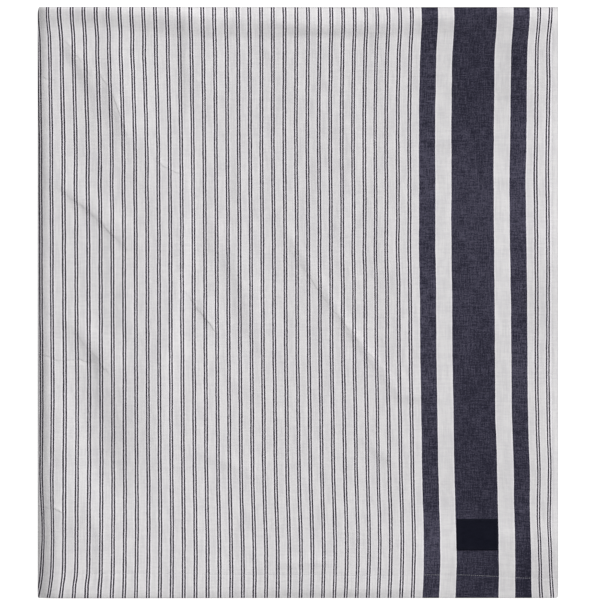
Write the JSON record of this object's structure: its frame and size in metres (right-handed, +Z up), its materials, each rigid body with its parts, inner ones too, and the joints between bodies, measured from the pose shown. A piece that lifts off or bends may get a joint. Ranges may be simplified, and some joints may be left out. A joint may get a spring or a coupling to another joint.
{
  "type": "folded tablecloth",
  "caption": "Rectangular woven tablecloth with lengthwise stripes, sewn hems and a small bare label, folded into a flat stack of layers.",
  "frame": {"origin": "centre of the folded stack's footprint, on the surface that it lies on", "axes": "+Z up, out of the face with the label; +X towards the open side edges, away from the lengthwise fold; +Y towards the head fold, away from the end hem beside the label"},
  "size_m": [0.7512, 0.852, 0.0118],
  "materials": {
    "cloth": "matt plain weave, off-white with dark navy stripes",
    "label": "smooth dense weave, very dark navy"
  },
  "bodies": {
    "root": {"tablecloth": "cloth", "label": "label"}
  },
  "joints": []
}
